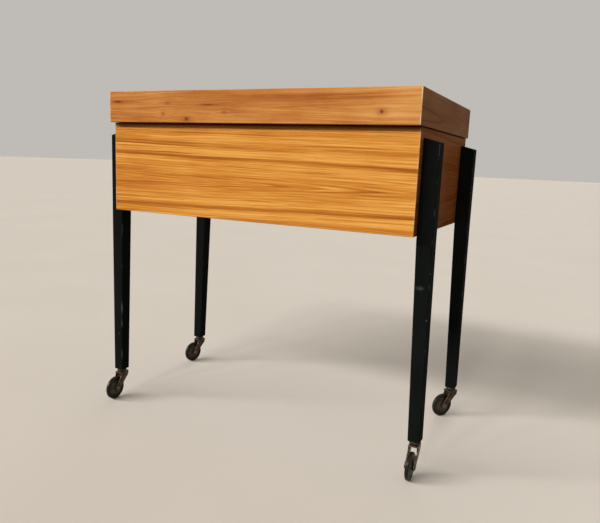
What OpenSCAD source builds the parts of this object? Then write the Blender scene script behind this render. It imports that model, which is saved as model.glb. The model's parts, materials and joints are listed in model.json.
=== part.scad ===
// Sewing box on castors: a lidded teak box with two sliding trays, carried by four tapered legs.
// Millimetres. +Z is up, -Y is the front, and the origin lies on the floor under the box's centre.

/* [Box] */
// Outside width of the box, left to right
box_w = 460; // [400:1:560]
// Outside depth of the box, front to back
box_d = 264; // [230:1:320]
// Height of the box's boards
box_h = 128; // [124:1:170]
// Thickness of the box's boards
board_t = 12; // [10:0.5:14]
// Thickness of the bottom panel
bottom_t = 5; // [3:0.5:7]
// Height of the bottom panel above the lower edge of the boards
bottom_lift = 8; // [5:0.5:12]
// Depth of the groove that holds the bottom panel
groove_depth = 5; // [3:0.5:7]

/* [Lid] */
// Outside height of the lid
lid_h = 43; // [30:1:60]
// Thickness of the lid's aprons
apron_t = 14; // [13:0.5:18]
// Thickness of the lid's top panel
lid_top_t = 10; // [6:0.5:14]
// How far the lid stands out past the front of the box
front_overhang = 9; // [5:0.5:10]
// How far the lid stands out past the back of the box
back_overhang = 9; // [7:0.5:11]
// How far the lid stands out past each side of the box
side_overhang = 1.5; // [0:0.1:3]
// Thickness of the felt buffers between box and lid
buffer_t = 0.6; // [0.4:0.1:2]
// Radius of a buffer
buffer_r = 4; // [2:0.5:5]
// Distance of a buffer from the front or back of the box
buffer_inset = 40; // [20:1:90]

/* [Legs] */
// Thickness of a leg beside the box
leg_t = 20; // [18:0.5:26]
// How far a leg reaches up the side of the box, at its face against the box
leg_lap = 116; // [84:1:122]
// How far a leg's top slopes down from the box to its outer face
leg_top_slope = 5; // [0:0.5:10]
// Length of a leg below the box
leg_drop = 262; // [150:1:400]
// Length of a leg below the box before its taper starts
leg_straight = 6; // [0:1:40]
// Distance of a leg from the front or back of the box
leg_setback = 13; // [8:0.5:30]
// How far the face towards the box tapers away from it at the foot
inner_taper = 7; // [3:0.5:8]
// How far the outer face flares out at the foot
outer_flare = 3; // [1:0.5:4]
// How far the front of a front leg, or the back of a back leg, tapers in at the foot
end_taper = 4; // [2:0.5:4.5]

/* [Leg screws] */
// Length of a leg screw
leg_screw_length = 26; // [20:1:30]
// Radius of a leg screw's shank
leg_screw_r = 2; // [1.5:0.1:2.5]
// Radius of a leg screw's head
leg_screw_head_r = 3.8; // [3:0.1:4]
// Distance of a leg's upper screw below the top of the leg
upper_screw_drop = 26; // [18:0.5:30]
// Height of a leg's lower screw above the lower edge of the box
lower_screw_lift = 20; // [18:0.5:22]

/* [Castors] */
// Radius of a tyre
tyre_r = 18; // [15:0.5:22]
// Width of a tyre
tyre_w = 5; // [4:0.1:6]
// Radius of the wheel disc inside the tyre
disc_r = 13; // [10:0.5:14]
// Radius of the tyre's rounded shoulders
tyre_round = 1.4; // [0.5:0.1:1.8]
// Distance from the swivel axis back to the axle
trail = 16; // [12:0.5:18]
// Thickness of the wheel disc at its rim
rim_w = 3.8; // [3:0.1:4]
// Thickness of the domed wheel disc beside its hub
web_w = 8.3; // [7:0.1:8.8]
// Length of the hub
hub_w = 9.4; // [9:0.1:11]
// Radius of the hub
hub_r = 4; // [3:0.1:5]
// Radius of the axle
axle_r = 1.8; // [1.2:0.1:2.2]
// Radius of the axle's riveted heads
rivet_r = 3.1; // [2.6:0.1:4]
// Thickness of the axle's riveted heads
rivet_t = 1; // [0.5:0.1:1.5]
// Thickness of the fork's sheet metal
fork_t = 1.6; // [1.2:0.1:2]
// Length of the fork's crown, along the arms
crown_length = 17.4; // [16:0.1:20]
// Radius of the crown's corners
crown_round = 0.8; // [0.4:0.1:1.5]
// How far the arms run down at full width before they taper to the axle
arm_skirt = 4.5; // [2:0.5:7]
// Radius of a fork arm's round end
arm_end_r = 4.8; // [4:0.1:6]
// Clear height between tyre and crown
crown_gap = 4; // [2:0.1:6]
// Radius of the castor's stem
stem_r = 3; // [2.5:0.1:3.5]
// Length of the castor's stem above the crown
stem_length = 30; // [20:1:34]
// Radius of the socket's sleeve inside the leg
sleeve_r = 5; // [4.4:0.1:5.4]
// Length of the socket's sleeve inside the leg
sleeve_length = 28; // [20:1:32]
// Radius of the socket's collar under the leg
collar_r = 7.3; // [6.5:0.1:8]
// Height of the socket's collar
collar_h = 4.5; // [3:0.1:8]
// Angle by which the front left castor has swivelled from straight to the front
front_left_swivel = 0; // [-180:1:180]
// Angle by which the front right castor has swivelled from straight to the front
front_right_swivel = 0; // [-180:1:180]
// Angle by which the back left castor has swivelled from straight to the front
back_left_swivel = 14; // [-180:1:180]
// Angle by which the back right castor has swivelled from straight to the front
back_right_swivel = 37; // [-180:1:180]

/* [Hinges] */
// Width of a hinge
hinge_w = 44; // [36:1:60]
// Distance of a hinge's middle from the side of the box
hinge_inset = 80; // [50:1:120]
// Thickness of the hinge leaves
leaf_t = 1.2; // [1:0.1:1.5]
// Height of the leaf on the back of the box
body_leaf_h = 18; // [14:1:24]
// Width of the leaf under the lid's back apron
lid_leaf_w = 8.5; // [8:0.1:10]
// Radius of the knuckles
knuckle_r = 2.4; // [2.2:0.1:2.6]
// Radius of the hinge pin
hinge_pin_r = 1.1; // [0.9:0.05:1.3]
// Share of the hinge's width that the lid's middle knuckle takes
middle_knuckle_share = 0.36; // [0.3:0.01:0.42]
// Length of a hinge screw
hinge_screw_length = 9; // [6:0.5:10]
// Radius of a hinge screw's shank
hinge_screw_r = 1.1; // [0.8:0.1:1.3]
// Radius of a hinge screw's head
hinge_screw_head_r = 2.1; // [1.6:0.1:2.2]
// Distance of a hinge's outer screws from the ends of its leaves
hinge_screw_inset = 6; // [4:0.5:10]
// Distance of the outer screws below the top of the body leaf
hinge_screw_drop = 6; // [4:0.5:7]

/* [Trays] */
// Length of a tray, left to right
tray_w = 214; // [180:1:216]
// Height of the upper tray
upper_tray_h = 44; // [30:1:46]
// Height of the lower tray
lower_tray_h = 40; // [28:1:42]
// Clear height between the upper tray and the lid's lower edge
rim_gap = 3; // [1:0.5:6]
// Clear height between the two trays
tray_gap = 3; // [1:0.5:6]
// Clear width beside the upper tray and beside the lower one, front and back
tray_play = 0.5; // [0.3:0.1:1]
// Thickness of the trays' walls
tray_wall = 6; // [4:0.5:7]
// Thickness of the trays' bottoms
tray_bottom_t = 3; // [2:0.5:4]
// Thickness of the trays' dividers
divider_t = 4; // [3:0.5:5]
// How far the dividers stay below the rim of their tray
divider_drop = 3; // [1:0.5:10]
// Radius of the finger notch in a tray's ends
notch_r = 12; // [8:0.5:14]
// Distance of the upper tray's long divider behind the tray's middle
long_divider_offset = 36; // [10:1:60]
// Depth and height of an upper runner
upper_runner = 8; // [7:0.5:9]
// Depth of a lower runner
lower_runner_d = 16; // [15.5:0.5:20]
// Height of a lower runner
lower_runner_h = 8; // [6:0.5:9]
// Gap between the trays and the left side at rest
tray_end_gap = 1; // [0.5:0.1:3]

/* [Hidden] */

$fn = 48;
LEFT = -1;
RIGHT = 1;
FRONT = -1;
BACK = 1;
CORNERS = [[LEFT, FRONT], [RIGHT, FRONT], [LEFT, BACK], [RIGHT, BACK]];

// Clearances
fit = 0.05;         // radial clearance of pins, stems and screws in their holes
face_gap = 0.2;     // between faces that turn or slide past each other
free_gap = 0.3;     // between round faces and what they turn past
cut = 1;            // how far a cutting shape runs past the face that it opens

TEAK = [0.80, 0.46, 0.20];
DARK_TEAK = [0.70, 0.38, 0.17];
PALE_WOOD = [0.83, 0.68, 0.45];
PLY = [0.72, 0.55, 0.34];
BLACK = [0.06, 0.07, 0.07];
BRONZE = [0.36, 0.28, 0.19];
BRASS = [0.72, 0.56, 0.28];
STEEL = [0.62, 0.62, 0.60];
FELT = [0.22, 0.14, 0.09];

// Castor heights, from the floor up
crown_z = 2 * tyre_r + crown_gap;
collar_z = crown_z + fork_t + free_gap;
foot_z = collar_z + collar_h;

// Wheel disc: each face is part of a ball, which gives web_w at the hub and rim_w at the rim
dome_drop = (web_w - rim_w) / 2;
dome_at_hub = ((disc_r ^ 2 - hub_r ^ 2) / dome_drop + dome_drop) / 2;
dome_r = sqrt(dome_at_hub ^ 2 + hub_r ^ 2);
dome_centre = dome_at_hub - web_w / 2;

// Box and lid heights
box_z = foot_z + leg_drop;
box_top = box_z + box_h;
leg_top = box_z + leg_lap;
floor_z = box_z + bottom_lift + bottom_t;
lid_z = box_top + buffer_t;
inner_w = box_w - 2 * board_t;
inner_d = box_d - 2 * board_t;

// Lid outline
lid_w = box_w + 2 * side_overhang;
lid_d = box_d + front_overhang + back_overhang;
lid_y = (back_overhang - front_overhang) / 2;

// Leg: u runs away from the box, v runs from the leg's end face to the middle of the box
taper_z = box_z - leg_straight;
foot_u = (inner_taper + leg_t + outer_flare) / 2;
foot_v = (end_taper + leg_t) / 2;
leg_screw_heights = [leg_top - upper_screw_drop, box_z + lower_screw_lift];

// Hinge: the lid turns about [hinge_y, hinge_z]
hinge_x = box_w / 2 - hinge_inset;
hinge_y = box_d / 2 + free_gap + knuckle_r;
hinge_z = lid_z + leaf_t - knuckle_r;
knuckle_gap = knuckle_r + free_gap;
middle_w = hinge_w * middle_knuckle_share;
outer_w = (hinge_w - middle_w) / 2 - face_gap;
leaf_screw_xs = [-hinge_w / 2 + hinge_screw_inset, 0, hinge_w / 2 - hinge_screw_inset];
lid_leaf_back = box_d / 2;
lid_leaf_screw_y = lid_leaf_back - lid_leaf_w / 2;
body_leaf_top = hinge_z - knuckle_gap;
body_leaf_screw_z = body_leaf_top - hinge_screw_drop;

// Trays
upper_tray_z = lid_z - rim_gap - upper_tray_h;
lower_tray_z = upper_tray_z - tray_gap - lower_tray_h;
upper_tray_d = inner_d - 2 * tray_play;
lower_tray_d = inner_d - 2 * upper_runner - 2 * tray_play;
tray_x = -inner_w / 2 + tray_end_gap;
upper_tray_inner = [tray_w - 2 * tray_wall, upper_tray_d - 2 * tray_wall];
lower_tray_inner = [tray_w - 2 * tray_wall, lower_tray_d - 2 * tray_wall];

function swivel(side, end) =
    end == FRONT ? (side == LEFT ? front_left_swivel : front_right_swivel)
                 : (side == LEFT ? back_left_swivel : back_right_swivel);

// Point where a line from p touches the circle of radius r about c, on side s
function tangent(p, c, r, s) =
    let (d = c - p, far = norm(d), a = atan2(d[1], d[0]) + s * asin(r / far))
    p + sqrt(far * far - r * r) * [cos(a), sin(a)];

// A block between two corners
module block(low, high) {
    translate(low) cube(high - low);
}

// One side of a mitred frame of w by d, seen from above, with boards t thick
module mitred_side(w, d, t, side) {
    turned = side == "left" || side == "right";
    along = turned ? d : w;
    across = turned ? w : d;
    spin = side == "front" ? 0 : side == "right" ? 90 : side == "back" ? 180 : 270;
    rotate(spin) translate([0, -across / 2])
        polygon([[-along / 2, 0], [along / 2, 0], [along / 2 - t, t], [-along / 2 + t, t]]);
}

// A countersunk wood screw along +Z with its head's face at the origin, grown by play all round
module screw_shape(length, r, head_r, play = 0) {
    tip = 2 * r;
    rotate_extrude()
        polygon([
            [0, 0], [head_r + play, 0], [r + play, head_r - r],
            [r + play, length - tip + play], [0, length + play],
        ]);
}

module slotted_screw(length, r, head_r) {
    slot_w = head_r / 4;
    difference() {
        screw_shape(length, r, head_r);
        block([-head_r, -slot_w / 2, -cut], [head_r, slot_w / 2, head_r / 4]);
    }
}

// --- Box ---

module board(side) {
    color(side == "front" ? TEAK : DARK_TEAK)
        difference() {
            translate([0, 0, box_z]) linear_extrude(box_h) mitred_side(box_w, box_d, board_t, side);
            bottom_groove();
            leg_screw_holes();
            body_hinge_screw_holes();
        }
}

module bottom_groove() {
    block(
        [-inner_w / 2 - groove_depth, -inner_d / 2 - groove_depth, floor_z - bottom_t],
        [inner_w / 2 + groove_depth, inner_d / 2 + groove_depth, floor_z]
    );
}

module bottom_panel() {
    reach = groove_depth - face_gap;
    color(PLY)
        block(
            [-inner_w / 2 - reach, -inner_d / 2 - reach, floor_z - bottom_t],
            [inner_w / 2 + reach, inner_d / 2 + reach, floor_z]
        );
}

module runner(end, tray_z, depth, height) {
    near = inner_d / 2 - depth;
    color(PALE_WOOD)
        mirror([0, end == FRONT ? 1 : 0, 0])
            block(
                [-inner_w / 2, near, tray_z - face_gap - height],
                [inner_w / 2, inner_d / 2, tray_z - face_gap]
            );
}

module lid_buffers() {
    x = (box_w - board_t) / 2;
    y = box_d / 2 - buffer_inset;
    color(FELT)
        for (c = CORNERS)
            translate([c[0] * x, c[1] * y, box_top]) cylinder(r = buffer_r, h = buffer_t);
}

// --- Legs ---

// Puts a shape that is drawn for the front right leg at any corner
module at_corner(side, end) {
    mirror([side == LEFT ? 1 : 0, 0, 0])
        mirror([0, end == BACK ? 1 : 0, 0])
            translate([box_w / 2, -box_d / 2 + leg_setback, 0])
                children();
}

module leg(side, end) {
    outer = leg_t + outer_flare;
    color(BLACK)
        difference() {
            at_corner(side, end)
                intersection() {
                    translate([0, leg_t, 0]) rotate([90, 0, 0]) linear_extrude(leg_t)
                        polygon([
                            [0, leg_top], [0, taper_z], [inner_taper, foot_z],
                            [outer, foot_z], [leg_t, taper_z], [leg_t, leg_top - leg_top_slope],
                        ]);
                    rotate([90, 0, 90]) linear_extrude(outer)
                        polygon([
                            [0, leg_top], [0, taper_z], [end_taper, foot_z],
                            [leg_t, foot_z], [leg_t, leg_top],
                        ]);
                }
            leg_screw_holes();
            at_corner(side, end)
                translate([foot_u, foot_v, foot_z - cut])
                    cylinder(r = sleeve_r + fit, h = cut + sleeve_length + face_gap);
        }
}

module at_leg_screws() {
    for (c = CORNERS)
        for (z = leg_screw_heights)
            at_corner(c[0], c[1])
                translate([-board_t, leg_t / 2, z]) rotate([0, 90, 0]) children();
}

module leg_screw_holes() {
    at_leg_screws() screw_shape(leg_screw_length, leg_screw_r, leg_screw_head_r, fit);
}

module leg_screws() {
    color(STEEL) at_leg_screws() slotted_screw(leg_screw_length, leg_screw_r, leg_screw_head_r);
}

// --- Castors ---

module at_foot(side, end) {
    x = box_w / 2 + foot_u;
    y = box_d / 2 - leg_setback - foot_v;
    translate([side * x, end * y, 0]) children();
}

// Turns what is drawn with its wheel trailing to the front by the castor's swivel
module at_castor(side, end) {
    at_foot(side, end) rotate(-swivel(side, end)) children();
}

module socket(side, end) {
    color(BLACK)
        at_foot(side, end)
            translate([0, 0, collar_z])
                difference() {
                    union() {
                        cylinder(r = collar_r, h = collar_h);
                        cylinder(r = sleeve_r, h = collar_h + sleeve_length);
                    }
                    translate([0, 0, -cut])
                        cylinder(r = stem_r + fit, h = collar_h + sleeve_length + 2 * cut);
                }
}

// A rectangle of w by d about the origin, with round corners
module round_rectangle(w, d, r) {
    square([w - 2 * r, d], center = true);
    square([w, d - 2 * r], center = true);
    for (x = [-1, 1], y = [-1, 1])
        translate([x * (w / 2 - r), y * (d / 2 - r)]) circle(r = r);
}

// A sheet-metal channel: the crown lies across two arms that run back to the axle
module fork(side, end) {
    gap = hub_w + 2 * face_gap;
    color(BRONZE)
        at_castor(side, end) {
            translate([0, 0, crown_z]) {
                linear_extrude(fork_t)
                    round_rectangle(gap + 2 * fork_t, crown_length, crown_round);
                translate([0, 0, fork_t]) cylinder(r = stem_r, h = stem_length);
            }
            for (x = [-gap / 2 - fork_t, gap / 2])
                translate([x, 0, 0]) rotate([90, 0, 90]) linear_extrude(fork_t) fork_arm();
        }
}

module fork_arm() {
    axle = [-trail, tyre_r];
    half_w = crown_length / 2 - crown_round;
    skirt_z = crown_z - arm_skirt;
    back = [-half_w, skirt_z];
    front = [half_w, skirt_z];
    difference() {
        union() {
            translate(axle) circle(r = arm_end_r);
            polygon([
                [-half_w, crown_z], back, tangent(back, axle, arm_end_r, -1), axle,
                tangent(front, axle, arm_end_r, 1), front, [half_w, crown_z],
            ]);
        }
        translate(axle) circle(r = axle_r + fit);
    }
}

// Puts what is drawn about the Z axis on a castor's axle
module at_axle(side, end) {
    at_castor(side, end) translate([0, -trail, tyre_r]) rotate([0, 90, 0]) children();
}

module axle(side, end) {
    span = hub_w + 2 * face_gap + 2 * fork_t;
    color(STEEL)
        at_axle(side, end) {
            cylinder(r = axle_r, h = span, center = true);
            for (z = [-span / 2 - rivet_t, span / 2])
                translate([0, 0, z]) cylinder(r = rivet_r, h = rivet_t);
        }
}

module wheel(side, end) {
    bore = axle_r + fit;
    color(BRONZE)
        at_axle(side, end)
            rotate_extrude() {
                intersection() {
                    translate([0, -dome_centre]) circle(r = dome_r);
                    translate([0, dome_centre]) circle(r = dome_r);
                    translate([bore, -hub_w / 2]) square([disc_r - bore, hub_w]);
                }
                translate([bore, -hub_w / 2]) square([hub_r - bore, hub_w]);
            }
}

module tyre(side, end) {
    inner = disc_r + fit;
    shoulder_r = tyre_r - tyre_round;
    shoulder_z = tyre_w / 2 - tyre_round;
    color(BLACK)
        at_axle(side, end)
            rotate_extrude() {
                translate([inner, -tyre_w / 2]) square([shoulder_r - inner, tyre_w]);
                translate([inner, -shoulder_z]) square([tyre_r - inner, 2 * shoulder_z]);
                for (z = [-shoulder_z, shoulder_z]) translate([shoulder_r, z]) circle(r = tyre_round);
            }
}

// --- Lid ---

module apron(side) {
    color(side == "front" ? TEAK : DARK_TEAK)
        difference() {
            translate([0, lid_y, lid_z])
                linear_extrude(lid_h) mitred_side(lid_w, lid_d, apron_t, side);
            lid_top_shape();
            lid_leaf_recesses();
            lid_hinge_screw_holes();
        }
}

// The top panel is as wide as the lid above and fits between the aprons below, so its edges are
// mitred against theirs and no joint shows
module lid_top_shape() {
    top = lid_z + lid_h;
    low = top - lid_top_t;
    translate([0, lid_y, 0])
        intersection() {
            translate([0, lid_d / 2, 0]) rotate([90, 0, 0]) linear_extrude(lid_d)
                polygon([
                    [-lid_w / 2, top], [lid_w / 2, top],
                    [lid_w / 2 - apron_t, low], [-lid_w / 2 + apron_t, low],
                ]);
            translate([-lid_w / 2, 0, 0]) rotate([90, 0, 90]) linear_extrude(lid_w)
                polygon([
                    [-lid_d / 2, top], [lid_d / 2, top],
                    [lid_d / 2 - apron_t, low], [-lid_d / 2 + apron_t, low],
                ]);
        }
}

module lid_top() {
    color(TEAK) lid_top_shape();
}

// --- Hinges ---

module at_hinges() {
    for (side = [LEFT, RIGHT]) translate([side * hinge_x, 0, 0]) children();
}

// The lid leaf lies flush in the back apron, and the knuckles turn in a deeper part of the recess
module lid_leaf_recesses() {
    half = hinge_w / 2 + face_gap;
    at_hinges() {
        block(
            [-half, lid_leaf_back - lid_leaf_w - face_gap, lid_z - cut],
            [half, lid_leaf_back, lid_z + leaf_t]
        );
        block(
            [-half, lid_leaf_back - cut, lid_z - cut],
            [half, hinge_y + knuckle_gap, hinge_z + knuckle_gap]
        );
    }
}

// A knuckle of width w whose middle lies at x
module knuckle(x, w) {
    translate([x - w / 2, hinge_y, hinge_z]) rotate([0, 90, 0]) cylinder(r = knuckle_r, h = w);
}

module pin_bore() {
    translate([-hinge_w, hinge_y, hinge_z]) rotate([0, 90, 0])
        cylinder(r = hinge_pin_r + fit, h = 2 * hinge_w);
}

module hinge_body_leaf(side) {
    outer_x = (hinge_w - outer_w) / 2;
    back = box_d / 2;
    color(BRASS)
        translate([side * hinge_x, 0, 0])
            difference() {
                union() {
                    block([-hinge_w / 2, back, body_leaf_top - body_leaf_h],
                          [hinge_w / 2, back + leaf_t, body_leaf_top]);
                    for (x = [-outer_x, outer_x]) {
                        knuckle(x, outer_w);
                        block([x - outer_w / 2, back, body_leaf_top - cut],
                              [x + outer_w / 2, back + leaf_t, hinge_z]);
                    }
                }
                pin_bore();
                at_body_leaf_screws() screw_shape(
                    hinge_screw_length, hinge_screw_r, hinge_screw_head_r, fit);
            }
}

module hinge_lid_leaf(side) {
    color(BRASS)
        translate([side * hinge_x, 0, 0])
            difference() {
                union() {
                    block([-hinge_w / 2, lid_leaf_back - lid_leaf_w, lid_z],
                          [hinge_w / 2, lid_leaf_back, lid_z + leaf_t]);
                    block([-middle_w / 2, lid_leaf_back - cut, lid_z],
                          [middle_w / 2, hinge_y, lid_z + leaf_t]);
                    knuckle(0, middle_w);
                }
                pin_bore();
                at_lid_leaf_screws() screw_shape(
                    hinge_screw_length, hinge_screw_r, hinge_screw_head_r, fit);
            }
}

module hinge_pin(side) {
    color(STEEL)
        translate([side * hinge_x - hinge_w / 2, hinge_y, hinge_z]) rotate([0, 90, 0])
            cylinder(r = hinge_pin_r, h = hinge_w);
}

module at_body_leaf_screws() {
    for (x = leaf_screw_xs)
        translate([x, box_d / 2 + leaf_t, body_leaf_screw_z - (x == 0 ? body_leaf_h / 3 : 0)])
            rotate([90, 0, 0]) children();
}

module at_lid_leaf_screws() {
    for (x = leaf_screw_xs) translate([x, lid_leaf_screw_y, lid_z]) children();
}

module body_hinge_screw_holes() {
    at_hinges() at_body_leaf_screws()
        screw_shape(hinge_screw_length, hinge_screw_r, hinge_screw_head_r, fit);
}

module lid_hinge_screw_holes() {
    at_hinges() at_lid_leaf_screws()
        screw_shape(hinge_screw_length, hinge_screw_r, hinge_screw_head_r, fit);
}

module body_hinge_screws() {
    color(BRASS) at_hinges() at_body_leaf_screws()
        slotted_screw(hinge_screw_length, hinge_screw_r, hinge_screw_head_r);
}

module lid_hinge_screws() {
    color(BRASS) at_hinges() at_lid_leaf_screws()
        slotted_screw(hinge_screw_length, hinge_screw_r, hinge_screw_head_r);
}

// --- Trays ---

module tray_long_wall(end, depth, height, z) {
    color(PALE_WOOD)
        mirror([0, end == FRONT ? 1 : 0, 0])
            block([tray_x, depth / 2 - tray_wall, z], [tray_x + tray_w, depth / 2, z + height]);
}

module tray_end(side, inner_depth, height, z) {
    x = side == LEFT ? tray_x : tray_x + tray_w - tray_wall;
    color(PALE_WOOD)
        difference() {
            block([x, -inner_depth / 2, z], [x + tray_wall, inner_depth / 2, z + height]);
            translate([x - cut, 0, z + height]) rotate([0, 90, 0])
                cylinder(r = notch_r, h = tray_wall + 2 * cut);
        }
}

module tray_bottom(inner, z) {
    x = tray_x + tray_wall;
    color(PLY) block([x, -inner[1] / 2, z], [x + inner[0], inner[1] / 2, z + tray_bottom_t]);
}

// A long divider at long_y and cross dividers in front of it that part the front into equal cells
module tray_dividers(inner, height, z, long_y, cells) {
    x = tray_x + tray_wall;
    front = -inner[1] / 2;
    low = z + tray_bottom_t;
    high = z + height - divider_drop;
    cell_w = (inner[0] - (cells - 1) * divider_t) / cells;
    color(PALE_WOOD) {
        block([x, long_y, low], [x + inner[0], long_y + divider_t, high]);
        for (i = [1:cells - 1])
            block(
                [x + i * cell_w + (i - 1) * divider_t, front, low],
                [x + i * (cell_w + divider_t), long_y - fit, high]
            );
    }
}

module upper_tray_dividers() {
    tray_dividers(upper_tray_inner, upper_tray_h, upper_tray_z, long_divider_offset, 3);
}

module lower_tray_dividers() {
    tray_dividers(lower_tray_inner, lower_tray_h, lower_tray_z, -divider_t / 2, 2);
}

board("front");  // front_panel
board("back");  // back_panel
board("left");  // left_panel
board("right");  // right_panel
bottom_panel();
runner(FRONT, upper_tray_z, upper_runner, upper_runner);  // upper_front_runner
runner(BACK, upper_tray_z, upper_runner, upper_runner);  // upper_back_runner
runner(FRONT, lower_tray_z, lower_runner_d, lower_runner_h);  // lower_front_runner
runner(BACK, lower_tray_z, lower_runner_d, lower_runner_h);  // lower_back_runner
leg(LEFT, FRONT);  // front_left_leg
leg(RIGHT, FRONT);  // front_right_leg
leg(LEFT, BACK);  // back_left_leg
leg(RIGHT, BACK);  // back_right_leg
leg_screws();
lid_buffers();
socket(LEFT, FRONT);  // front_left_socket
fork(LEFT, FRONT);  // front_left_fork
axle(LEFT, FRONT);  // front_left_axle
wheel(LEFT, FRONT);  // front_left_wheel
tyre(LEFT, FRONT);  // front_left_tyre
socket(RIGHT, FRONT);  // front_right_socket
fork(RIGHT, FRONT);  // front_right_fork
axle(RIGHT, FRONT);  // front_right_axle
wheel(RIGHT, FRONT);  // front_right_wheel
tyre(RIGHT, FRONT);  // front_right_tyre
socket(LEFT, BACK);  // back_left_socket
fork(LEFT, BACK);  // back_left_fork
axle(LEFT, BACK);  // back_left_axle
wheel(LEFT, BACK);  // back_left_wheel
tyre(LEFT, BACK);  // back_left_tyre
socket(RIGHT, BACK);  // back_right_socket
fork(RIGHT, BACK);  // back_right_fork
axle(RIGHT, BACK);  // back_right_axle
wheel(RIGHT, BACK);  // back_right_wheel
tyre(RIGHT, BACK);  // back_right_tyre
lid_top();
apron("front");  // lid_front_apron
apron("back");  // lid_back_apron
apron("left");  // lid_left_apron
apron("right");  // lid_right_apron
hinge_body_leaf(LEFT);  // left_hinge_body_leaf
hinge_lid_leaf(LEFT);  // left_hinge_lid_leaf
hinge_pin(LEFT);  // left_hinge_pin
hinge_body_leaf(RIGHT);  // right_hinge_body_leaf
hinge_lid_leaf(RIGHT);  // right_hinge_lid_leaf
hinge_pin(RIGHT);  // right_hinge_pin
body_hinge_screws();
lid_hinge_screws();
tray_long_wall(FRONT, upper_tray_d, upper_tray_h, upper_tray_z);  // upper_tray_front
tray_long_wall(BACK, upper_tray_d, upper_tray_h, upper_tray_z);  // upper_tray_back
tray_end(LEFT, upper_tray_inner[1], upper_tray_h, upper_tray_z);  // upper_tray_left_end
tray_end(RIGHT, upper_tray_inner[1], upper_tray_h, upper_tray_z);  // upper_tray_right_end
tray_bottom(upper_tray_inner, upper_tray_z);  // upper_tray_bottom
upper_tray_dividers();
tray_long_wall(FRONT, lower_tray_d, lower_tray_h, lower_tray_z);  // lower_tray_front
tray_long_wall(BACK, lower_tray_d, lower_tray_h, lower_tray_z);  // lower_tray_back
tray_end(LEFT, lower_tray_inner[1], lower_tray_h, lower_tray_z);  // lower_tray_left_end
tray_end(RIGHT, lower_tray_inner[1], lower_tray_h, lower_tray_z);  // lower_tray_right_end
tray_bottom(lower_tray_inner, lower_tray_z);  // lower_tray_bottom
lower_tray_dividers();
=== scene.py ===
"""Dresses a sewing box: teak boards, tapered black legs, bronze castors, trays and hinges.

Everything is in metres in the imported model's frame: +Z is up and -Y is the front.
"""

import json
import math

import bmesh
import bpy
from mathutils import Matrix, Vector

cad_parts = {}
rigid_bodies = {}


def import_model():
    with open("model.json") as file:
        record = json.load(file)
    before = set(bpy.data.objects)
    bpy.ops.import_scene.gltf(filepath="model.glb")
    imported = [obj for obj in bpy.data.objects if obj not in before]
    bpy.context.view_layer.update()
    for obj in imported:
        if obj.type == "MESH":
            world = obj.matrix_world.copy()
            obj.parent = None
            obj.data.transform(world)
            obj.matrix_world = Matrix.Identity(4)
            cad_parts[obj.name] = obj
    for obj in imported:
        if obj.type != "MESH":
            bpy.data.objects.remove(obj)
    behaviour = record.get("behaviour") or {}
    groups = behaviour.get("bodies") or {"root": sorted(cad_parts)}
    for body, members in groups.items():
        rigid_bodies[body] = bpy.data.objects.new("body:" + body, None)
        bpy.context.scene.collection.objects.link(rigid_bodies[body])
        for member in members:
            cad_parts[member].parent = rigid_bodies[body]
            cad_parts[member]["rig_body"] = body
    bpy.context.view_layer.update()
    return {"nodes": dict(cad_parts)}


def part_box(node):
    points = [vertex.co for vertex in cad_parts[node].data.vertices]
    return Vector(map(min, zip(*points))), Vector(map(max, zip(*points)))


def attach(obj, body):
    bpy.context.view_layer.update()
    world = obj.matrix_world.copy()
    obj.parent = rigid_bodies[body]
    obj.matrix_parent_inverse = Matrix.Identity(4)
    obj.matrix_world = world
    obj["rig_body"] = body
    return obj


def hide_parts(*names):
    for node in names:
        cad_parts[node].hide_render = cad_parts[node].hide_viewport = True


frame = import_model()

X, Y, Z = Vector((1, 0, 0)), Vector((0, 1, 0)), Vector((0, 0, 1))
CORNERS = ("front_left", "front_right", "back_left", "back_right")


# --- Finishes ---

class Signal:
    """What a node gives, such as a number that changes over a surface. The usual signs add Math
    nodes."""

    def __init__(self, nodes, socket):
        self.nodes, self.socket = nodes, socket

    def __add__(self, other):
        return self.nodes.math("ADD", self, other)

    __radd__ = __add__

    def __sub__(self, other):
        return self.nodes.math("SUBTRACT", self, other)

    def __rsub__(self, other):
        return self.nodes.math("SUBTRACT", other, self)

    def __mul__(self, other):
        return self.nodes.math("MULTIPLY", self, other)

    __rmul__ = __mul__

    def __truediv__(self, other):
        return self.nodes.math("DIVIDE", self, other)

    def __abs__(self):
        return self.nodes.math("ABSOLUTE", self)


class Nodes:
    """The node tree of a material or the world."""

    def __init__(self, owner):
        owner.use_nodes = True
        self.tree = owner.node_tree
        self.tree.nodes.clear()

    def node(self, kind, settings=None, sockets=None, out=0):
        """Adds a node: its settings first, then the values or links of its sockets. Gives one of
        its outputs, if it has any."""
        made = self.tree.nodes.new(kind)
        for key, value in (settings or {}).items():
            if key == "stops":
                elements = made.color_ramp.elements
                while len(elements) < len(value):
                    elements.new(1)
                for element, (position, colour) in zip(elements, value):
                    element.position, element.color = position, (*colour, 1)
            else:
                setattr(made, key, value)
        for key, value in (sockets or {}).items():
            self.feed(made.inputs[key], value)
        return Signal(self, made.outputs[out]) if made.outputs else None

    def feed(self, socket, value):
        """Links a node's output to a socket, or writes a value into it."""
        if isinstance(value, Signal):
            self.tree.links.new(value.socket, socket)
        elif socket.type == "RGBA" and len(value) == 3:
            socket.default_value = (*value, 1)
        else:
            socket.default_value = value

    def math(self, operation, *values):
        return self.node("ShaderNodeMath", {"operation": operation}, dict(enumerate(values)))

    def looked_on(self):
        """1 where the eye, a reflection or glass looks on, 0 for soft light thrown back."""
        eye, reflection, glass = [
            self.node("ShaderNodeLightPath", out=out)
            for out in ("Is Camera Ray", "Is Glossy Ray", "Is Transmission Ray")]
        return self.math("MAXIMUM", self.math("MAXIMUM", eye, reflection), glass)


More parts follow.
